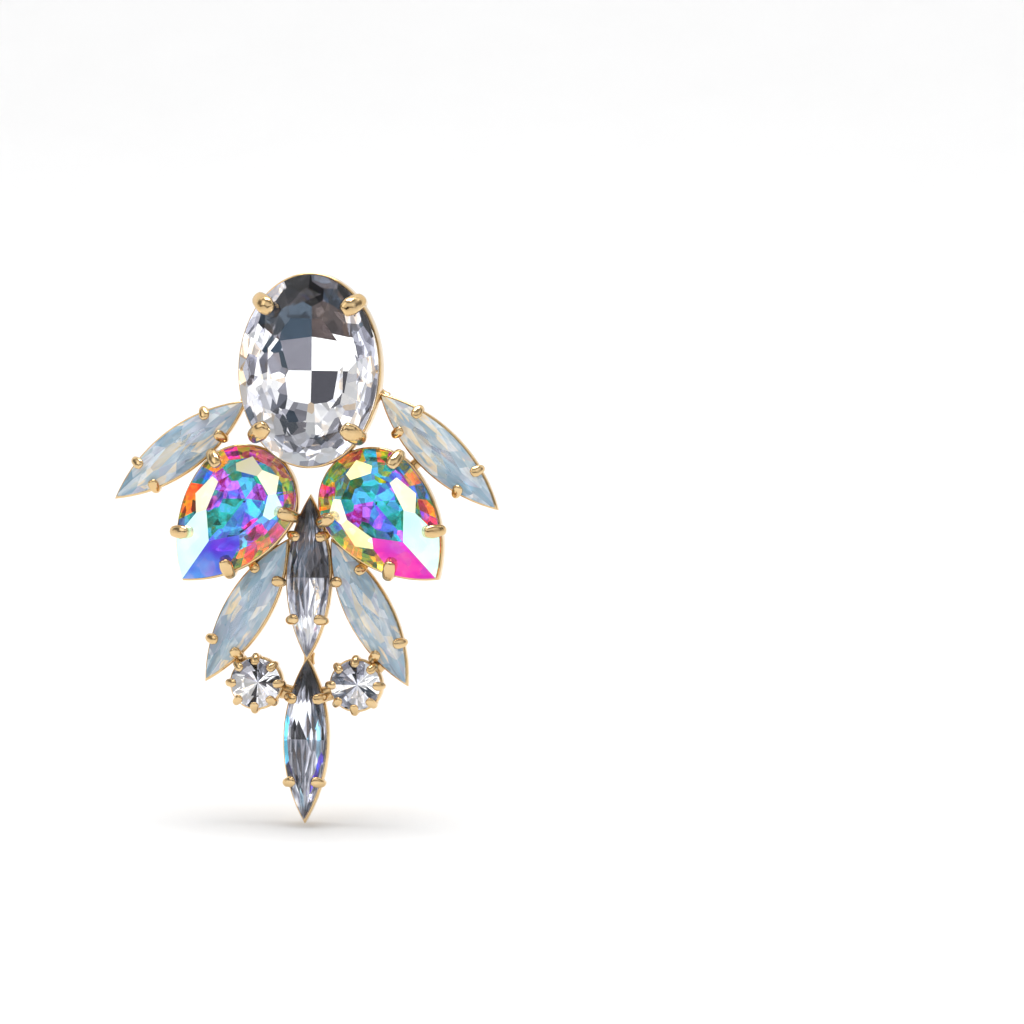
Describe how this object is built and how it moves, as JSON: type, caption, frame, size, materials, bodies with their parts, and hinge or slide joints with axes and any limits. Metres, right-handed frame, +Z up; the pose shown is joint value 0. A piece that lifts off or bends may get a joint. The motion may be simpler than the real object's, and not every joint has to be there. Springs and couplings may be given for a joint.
{
  "type": "chandelier earring",
  "caption": "Rigid chandelier earring of foiled glass stones in soldered gilt claw cups, on a straight ear post.",
  "frame": {"origin": "where the ear post leaves the flat back of its pad, behind the upper part of the oval stone", "axes": "+Z up as worn, the stones face -Y, +Y along the post towards the head, +X to the right as seen from the front"},
  "size_m": [0.0366, 0.0182, 0.0519],
  "materials": {
    "gilt_brass": "polished pale gilt",
    "clear_crystal": "cut and polished glass with a silver foil behind it",
    "rainbow_crystal": "cut and polished glass with a rainbow coating and a foil behind it",
    "milky_opal": "cut and polished milky glass"
  },
  "bodies": {
    "root": {"soldered_setting": "gilt_brass", "oval_stone": "clear_crystal", "pear_left_stone": "rainbow_crystal", "pear_right_stone": "rainbow_crystal", "wing_left_stone": "milky_opal", "wing_right_stone": "milky_opal", "middle_stone": "clear_crystal", "lower_left_stone": "milky_opal", "lower_right_stone": "milky_opal", "bottom_stone": "clear_crystal", "chaton_left_stone": "clear_crystal", "chaton_right_stone": "clear_crystal"}
  },
  "joints": []
}
